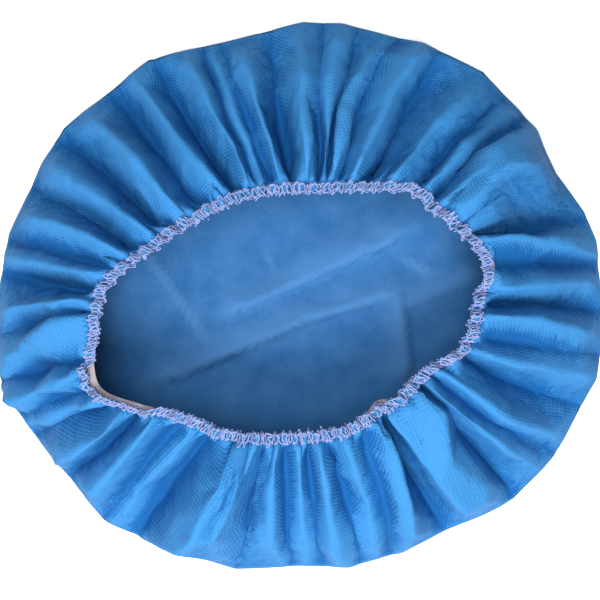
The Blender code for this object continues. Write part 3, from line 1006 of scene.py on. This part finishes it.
def true_outline(points):
    """The grid of points with its widest line moved back onto the cap's outline."""
    reach = np.hypot(points[:, :, 0], points[:, :, 1])
    degrees = np.degrees(np.arctan2(points[:, :, 1], points[:, :, 0])) % 360.0
    around = np.arange(361)
    widest = np.zeros(361)
    np.maximum.at(widest, np.round(degrees).astype(int).ravel(), reach.ravel())
    widest[0] = widest[360] = max(widest[0], widest[360])
    turn = widest[:360]
    turn = np.maximum(turn, np.maximum(np.roll(turn, 1), np.roll(turn, -1)))
    aim = outline_points(around)
    scale = np.hypot(aim[:360, 0], aim[:360, 1]) / turn
    steps = range(-OUTLINE_EVEN, OUTLINE_EVEN + 1)
    scale = sum(np.roll(scale, step) for step in steps) / len(steps)
    scale = np.append(scale, scale[0])
    share = reach / np.interp(degrees, around, widest)
    rings_left = np.arange(len(points) - 1, -1, -1)[:, None]
    held = ramp(share, *OUTLINE_PULL) * ramp(rings_left, *OUTLINE_RINGS)
    grow = 1.0 + (np.interp(degrees, around, scale) - 1.0) * held
    points = points.copy()
    points[:, :, :2] *= grow[:, :, None]
    return points


def ridge_light_and_valley_shade(rings):
    """Painted light at each point of the side, from 0, painted shade in a valley, to 1, a painted
    highlight on a sharp ridge.
    """
    spacing = np.linalg.norm(beside(rings, 0, 1) - beside(rings, 0, -1), axis=-1)
    spacing += np.linalg.norm(beside(rings, 1, 0) - beside(rings, -1, 0), axis=-1)
    # Sharp and raised ridges get a painted highlight, valleys a painted shade, from the cloth's shape
    rise = np.sum((rings - four_beside(rings)) * outward(rings), axis=-1)
    sharp = PAINTED_LIGHT_GAIN * rise / np.maximum(spacing, 1e-6)
    far = beside(rings, 0, PAINTED_LIGHT_REACH) + beside(rings, 0, -PAINTED_LIGHT_REACH)
    stands_off = np.sum((rings - 0.5 * far) * outward(rings), axis=-1)
    return np.clip(0.5 + sharp + stands_off / PAINTED_LIGHT_HEIGHT, 0.0, 1.0)


def finish_side(rings, flat):
    """The settled side with its creases, facets and small crumples pressed in."""
    count = len(rings)
    x, y = rings[:, :, 0].ravel(), rings[:, :, 1].ravel()
    cut = flat.reshape(-1, 3)
    height = FACET_HEIGHT * cells(cut, FACET_SIZE, FACET_SEED)
    for a0, s0, a1, s1, a2, s2, rise, half_width in SIDE_CREASES:
        line = [side_place(a0, s0), side_place(a1, s1), side_place(a2, s2)]
        height += press_line(x, y, line, rise, half_width, half_width)
    way = np.arange(count) / (count - 1)
    fade = ramp(way, *HEM_FADE) * ramp(1.0 - way, *CROWN_FADE)
    finished = rings + outward(rings) * (height.reshape(count, COLUMNS) * fade[:, None])[:, :, None]
    finished = crisp(finished)
    small = CRUMPLE_HEIGHT * cells(cut, CRUMPLE_SIZE, CRUMPLE_SEED).reshape(count, COLUMNS)
    finished += outward(finished) * (small * fade[:, None])[:, :, None]
    finished = true_outline(finished)
    lowest = CLOTH * np.clip(count - 1.0 - np.arange(count), 0.0, FLOOR_GAP)
    finished[:, :, 2] = np.maximum(finished[:, :, 2], lowest[:, None])
    return finished


def crown_creases(x, y):
    """Height of the crown's creases at these points, and how near each point is to a crest."""
    half = np.array([0.5 * CAP_LENGTH, 0.5 * CAP_WIDTH])
    height = np.zeros(len(x))
    crest = np.zeros(len(x))
    for x0, y0, x1, y1, rise, left, right in CREASES:
        line = [np.array([x0, y0]) * half, np.array([x1, y1]) * half]
        near = press_line(x, y, line, 1.0, left, right)
        height = np.maximum(height, CREASE_HEIGHT * rise * near)
        crest = np.maximum(crest, near)
    return height, crest


def crown_heights(x, y, share):
    """How far the crown stands off the floor: its creases and its soft waves."""
    waves = WAVE_HEIGHT * (cells(np.stack([x, y], axis=-1), WAVE_SIZE, WAVE_SEED) + WAVE_LIFT)
    fade = ramp(WAVE_END - share, 0.0, WAVE_FADE)
    return crown_creases(x, y)[0] + fade * np.maximum(waves, 0.0)


def sheet_mesh(side, flat):
    """Points, cut coordinates and faces of the cap's one sheet of cloth."""
    crown_edge = np.hypot(flat[-1, :, 0], flat[-1, :, 1])
    points = [side.reshape(-1, 3)]
    cut = [flat.reshape(-1, 3)[:, :2]]
    inner_counts = []
    for count, repeats in CROWN_RINGS:
        inner_counts.extend([count] * repeats)
    for number, count in enumerate(inner_counts):
        share = 1.0 - (number + 1) / (len(inner_counts) + 1)
        reach = share * crown_edge[:: COLUMNS // count]
        turn = COLUMN_TURNS[:: COLUMNS // count]
        x, y = reach * np.cos(turn), reach * np.sin(turn)
        points.append(np.stack([x, y, crown_heights(x, y, share)], axis=1))
        cut.append(np.stack([x, y], axis=1))
    counts = [COLUMNS] * len(side) + inner_counts
    faces = ring_faces(counts)
    last = counts[-1]
    start = sum(counts) - last
    for k in range(last):
        faces.append((start + last, start + (k + 1) % last, start + k))
    middle = np.zeros(1)
    points.append(np.stack([middle, middle, crown_heights(middle, middle, 0.0)], axis=1))
    cut.append(np.zeros((1, 2)))
    return np.concatenate(points), np.concatenate(cut), faces


def lay_uv(piece, flat):
    """UV map of the flat cut, one unit for the cut's whole width."""
    layer = piece.data.uv_layers.new(name="cut")
    index = np.empty(len(piece.data.loops), np.int32)
    piece.data.loops.foreach_get("vertex_index", index)
    uv = 0.5 + flat[index] / (2.0 * CUT_RADIUS)
    layer.data.foreach_set("uv", uv.astype(np.float32).ravel())


def principled(name, colour, roughness):
    """A material of one colour, linear red, green and blue."""
    material = bpy.data.materials.new(name)
    material.use_nodes = True
    shader = material.node_tree.nodes["Principled BSDF"]
    shader.inputs["Base Color"].default_value = (*colour, 1.0)
    shader.inputs["Roughness"].default_value = roughness
    return material


def add_node(material, kind, vector=None, **values):
    """A node with these settings and sockets, which reads this vector."""
    node = material.node_tree.nodes.new(kind)
    for name, value in values.items():
        if hasattr(node, name):
            setattr(node, name, value)
        else:
            node.inputs[name].default_value = value
    if vector is not None:
        material.node_tree.links.new(vector, node.inputs["Vector"])
    return node


def scaled_sum(material, value, factor, added):
    """Output of a node that takes this value times this factor and adds another value."""
    node = add_node(material, "ShaderNodeMath", operation="MULTIPLY_ADD")
    node.inputs[1].default_value = factor
    material.node_tree.links.new(value, node.inputs[0])
    material.node_tree.links.new(added, node.inputs[2])
    return node.outputs["Value"]


def stretched(material, value, low, high):
    """Output of a node that runs from 0 to 1 as this value runs from low to high."""
    node = add_node(material, "ShaderNodeMapRange", clamp=True, **{"From Min": low, "From Max": high})
    material.node_tree.links.new(value, node.inputs["Value"])
    return node.outputs["Result"]


def finish_surface(material, colours, tone, relief, height):
    """Mixes two colours by the tone and raises the surface by the height."""
    link = material.node_tree.links.new
    shader = material.node_tree.nodes["Principled BSDF"]
    mixed = add_node(material, "ShaderNodeMix", data_type="RGBA")
    mixed.inputs["A"].default_value = (*colours[0], 1.0)
    mixed.inputs["B"].default_value = (*colours[1], 1.0)
    bump = add_node(material, "ShaderNodeBump", Strength=relief[0], Distance=relief[1])
    link(tone, mixed.inputs["Factor"])
    link(mixed.outputs["Result"], shader.inputs["Base Color"])
    link(height, bump.inputs["Height"])
    link(bump.outputs["Normal"], shader.inputs["Normal"])


def nonwoven(name, deep, pale, roughness, bond_depth, shine, painted_light_strength):
    """Spunbond cloth: a lattice of small bonded dots in soft, mottled fibre, with painted highlights on
    ridges and crease crests and painted shade in valleys.
    """
    material = principled(name, pale, roughness)
    material.node_tree.nodes["Principled BSDF"].inputs["Specular IOR Level"].default_value = shine
    cut = add_node(material, "ShaderNodeTexCoord").outputs["UV"]
    turn = (0.0, 0.0, math.radians(DOT_ROW_TURN))
    size = (DOTS_ACROSS, DOTS_ACROSS, 1.0)
    lattice = add_node(material, "ShaderNodeMapping", cut, Rotation=turn, Scale=size).outputs["Vector"]
    dots = add_node(material, "ShaderNodeTexVoronoi", lattice, Randomness=DOT_STRAY, **FLAT_CELLS)
    between_dots = stretched(material, dots.outputs["Distance"], *DOT_EDGE)
    along = add_node(material, "ShaderNodeMapping", cut, Scale=(1.0, FIBRE_STRETCH, 1.0)).outputs["Vector"]
    fibres = add_node(material, "ShaderNodeTexNoise", along, **FIBRES).outputs["Fac"]
    clouds = add_node(material, "ShaderNodeTexNoise", cut, **CLOUDS).outputs["Fac"]
    mottle = scaled_sum(material, clouds, CLOUD_SHARE, fibres)
    tone = scaled_sum(material, between_dots, bond_depth, mottle)
    # This attribute paints ridges and crease crests paler, as highlights, and valleys deeper, as shade
    painted_light = add_node(material, "ShaderNodeAttribute", attribute_name="painted_light").outputs["Fac"]
    painted_tone = scaled_sum(material, painted_light, painted_light_strength, tone)
    darkest = TONES[0] + 0.5 * painted_light_strength
    palest = TONES[1] + 0.5 * painted_light_strength + bond_depth
    shown = stretched(material, painted_tone, darkest, palest)
    finish_surface(material, (deep, pale), shown, CLOTH_RELIEF, tone)
    return material


def braided():
    """Off-white braid of the elastic tape, with painted shade in the gaps between its threads, on the
    tape's own UV map.
    """
    material = principled("braided_elastic", TAPE_THREAD_AND_GAP_SHADE_COLOURS[0], TAPE_ROUGHNESS)
    along = add_node(material, "ShaderNodeTexCoord").outputs["UV"]
    places = add_node(material, "ShaderNodeMapping", along, Scale=BRAID_CELLS).outputs["Vector"]
    braid = add_node(material, "ShaderNodeTexVoronoi", places, Randomness=BRAID_STRAY, **FLAT_CELLS)
    cell = braid.outputs["Distance"]
    # The braid's cell borders take the darker colour, a painted shade between its threads
    finish_surface(material, TAPE_THREAD_AND_GAP_SHADE_COLOURS, cell, TAPE_RELIEF, cell)
    return material


def spun():
    """Fluffy thread, with shade between its fibres."""
    material = principled("white_thread", THREAD_COLOURS[1], THREAD_ROUGHNESS)
    place = add_node(material, "ShaderNodeTexCoord").outputs["Object"]
    fibres = add_node(material, "ShaderNodeTexNoise", place, **THREAD_FIBRES).outputs["Fac"]
    finish_surface(material, THREAD_COLOURS, fibres, THREAD_RELIEF, fibres)
    return material


def make_cloth(side, flat):
    """The one sheet of nonwoven cloth, from the stitched edge to the crown."""
    points, cut, faces = sheet_mesh(side, flat)
    cloth = new_piece("cap_cloth", points, faces)
    lay_uv(cloth, cut)
    # Painted light of the cloth: a painted highlight along the crown's crease crests, and on the side
    # painted highlights on sharp ridges and painted shade in valleys
    painted_light = 0.5 + 0.5 * crown_creases(points[:, 0], points[:, 1])[1] ** CREST_HIGHLIGHT_POWER
    painted_light[: side.shape[0] * COLUMNS] = ridge_light_and_valley_shade(side).ravel()
    layer = cloth.data.attributes.new("painted_light", "FLOAT", "POINT")
    layer.data.foreach_set("value", painted_light.astype(np.float32))
    cloth.data.materials.append(nonwoven("blue_nonwoven", **OUTSIDE_LOOK))
    cloth.data.materials.append(nonwoven("blue_nonwoven_inside", **INSIDE_LOOK))
    wall = cloth.modifiers.new("wall", "SOLIDIFY")
    wall.thickness = CLOTH
    wall.offset = -1.0
    wall.material_offset = 1
    select_only(cloth)
    bpy.ops.object.modifier_apply(modifier="wall")
    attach(cloth, "root")
    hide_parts("cap_shell")
    return cloth


def tape_section():
    """Section of the tape: share of the way across and rise of each point, over the top and back."""
    across = RIB_POINTS * TAPE_RIBS
    over, under = [], []
    for step in range(across + 1):
        share = step / across
        rib = abs(math.sin(math.pi * TAPE_RIBS * share)) ** RIB_POWER
        groove = RIB_GROOVE * TAPE_THICKNESS * (1.0 - rib)
        over.append((share, -TAPE_GAP - groove))
        under.append((share, -TAPE_GAP - TAPE_THICKNESS + groove))
    return over + under[::-1]


def make_tape():
    """Braided elastic tape, ribbed along its length, just under the cloth's edge."""
    degrees = 360.0 * np.arange(TAPE_STEPS) / TAPE_STEPS
    inner = mouth_line(degrees, TAPE_INSET)
    outer = mouth_line(degrees, TAPE_INSET + TAPE_WIDTH)
    up = unit(np.cross(np.roll(inner, -1, axis=0) - np.roll(inner, 1, axis=0), inner - outer))
    up *= np.sign(up[:, 2:3])
    loop = [inner + (outer - inner) * share + up * rise for share, rise in tape_section()]
    rows = len(loop)
    points = np.array(loop).transpose(1, 0, 2).reshape(-1, 3)
    faces = []
    uv = []
    for step in range(TAPE_STEPS):
        after = (step + 1) % TAPE_STEPS
        for row in range(rows):
            side = (row + 1) % rows
            faces.append((step * rows + row, after * rows + row, after * rows + side, step * rows + side))
            for one, other in ((0, 0), (1, 0), (1, 1), (0, 1)):
                uv.extend(((step + one) / TAPE_STEPS, (row + other) / rows))
    tape = new_piece("elastic_tape", points, faces)
    layer = tape.data.uv_layers.new(name="along")
    layer.data.foreach_set("uv", np.array(uv, np.float32))
    tape.data.materials.append(braided())
    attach(tape, "root")
    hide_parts("elastic_band")
    return tape


class Hem:
    """The cloth's edge as a strip to sew on: places by stitch number, depth in metres and height."""

    def __init__(self, side):
        rows = 2 * HEM_RINGS
        self.points = side[:rows]
        self.normals = outward(side)[:rows]
        degrees = mouth_degrees(pleat_course(0.0)[0])
        line = mouth_line(np.append(degrees, degrees[0] + 360.0), 0.0)
        steps = np.linalg.norm(np.diff(line, axis=0), axis=1)
        self.along = np.concatenate([[0.0], np.cumsum(steps)]) / steps.sum()

    def place(self, stitch, depth, rise):
        """Place of a point of the thread, this deep from the edge and this far off the cloth."""
        column = float(np.interp(stitch / STITCHES % 1.0, self.along, np.arange(COLUMNS + 1)))
        ring = depth / (HEM_WIDTH / HEM_RINGS)
        whole = int(np.clip(math.floor(ring), 0, len(self.points) - 2))
        part = ring - whole
        left = int(column) % COLUMNS
        right = (left + 1) % COLUMNS
        share = column - int(column)
        at = []
        for grid in (self.points, self.normals):
            low = grid[whole, left] * (1.0 - share) + grid[whole, right] * share
            high = grid[whole + 1, left] * (1.0 - share) + grid[whole + 1, right] * share
            at.append(low + (high - low) * part)
        return at[0] + at[1] * rise


def thread_piece(name, path, radii, material):
    """A closed loop of thread through these points."""
    data = bpy.data.curves.new(name, "CURVE")
    data.dimensions = "3D"
    data.bevel_depth = 0.5 * THREAD
    data.bevel_resolution = 1
    data.resolution_u = 2
    spline = data.splines.new("NURBS")
    spline.points.add(len(path) - 1)
    for point, place, radius in zip(spline.points, path, radii):
        point.co = (*place, 1.0)
        point.radius = radius
    spline.order_u = 3
    spline.use_cyclic_u = True
    data.materials.append(material)
    piece = bpy.data.objects.new(name, data)
    bpy.context.scene.collection.objects.link(piece)
    select_only(piece)
    bpy.ops.object.convert(target="MESH")
    piece.data.shade_smooth()
    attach(piece, "root")
    return piece


def make_threads(side):
    """White overlock stitching that wraps the cloth's edge and holds the tape."""
    hem = Hem(side)
    material = spun()
    random = np.random.default_rng(THREAD_SEED)
    pieces = []
    for name, course in THREADS:
        path = []
        for stitch in range(STITCHES):
            for point in course:
                stray = np.clip(random.normal(0.0, 1.0, 3), -STRAY_MOST, STRAY_MOST)
                along, depth, rise = np.array(point) + stray * np.array(STRAY)
                path.append(hem.place(stitch + along, depth, rise))
        radii = 1.0 + THREAD_FLUFF * random.uniform(-1.0, 1.0, len(path))
        pieces.append(thread_piece(name, path, radii, material))
    return pieces


def make_stage():
    """A plain pale floor, just under the cap."""
    bpy.ops.mesh.primitive_plane_add(size=FLOOR_SIZE, location=(0.0, 0.0, -FLOOR_DROP))
    floor = bpy.context.object
    floor.name = "floor"
    floor.data.materials.append(principled("floor_white", FLOOR_COLOUR, FLOOR_ROUGHNESS))


def area_light(name, around, above, size, power):
    """A round lamp aimed at the cap, from this angle around it and this angle above the floor."""
    data = bpy.data.lights.new(name, "AREA")
    data.shape = "DISK"
    data.size = size
    data.energy = power
    data.color = LAMP_COLOUR
    lamp = bpy.data.objects.new(name, data)
    turn, lift = math.radians(around), math.radians(above)
    flat = LAMP_DISTANCE * math.cos(lift)
    lamp.location = (flat * math.cos(turn), flat * math.sin(turn), LAMP_DISTANCE * math.sin(lift))
    bpy.context.scene.collection.objects.link(lamp)
    aim = -lamp.location
    lamp.rotation_euler = aim.to_track_quat("-Z", "Y").to_euler()


def make_light():
    """The lamps, and a weak bluish light from all round."""
    for lamp in LAMPS:
        area_light(*lamp)
    world = bpy.data.worlds.new("studio")
    world.use_nodes = True
    background = world.node_tree.nodes["Background"]
    background.inputs["Color"].default_value = (*STUDIO_COLOUR, 1.0)
    background.inputs["Strength"].default_value = STUDIO_STRENGTH
    bpy.context.scene.world = world
    bpy.context.scene.view_settings.view_transform = "Standard"


def make_camera():
    """The camera, straight above the cap as in the photo."""
    data = bpy.data.cameras.new("camera")
    data.sensor_width = CAMERA_SENSOR
    data.lens = CAMERA_LENS
    camera = bpy.data.objects.new("camera", data)
    camera.location = CAMERA_PLACE
    bpy.context.scene.collection.objects.link(camera)
    bpy.context.scene.camera = camera


make_camera()
led = led_rings()
flat = flat_rings(led)
side = settle(led, flat)
side = finish_side(side, flat)
cloth = make_cloth(side, flat)
tape = make_tape()
threads = make_threads(side)
make_stage()
make_light()
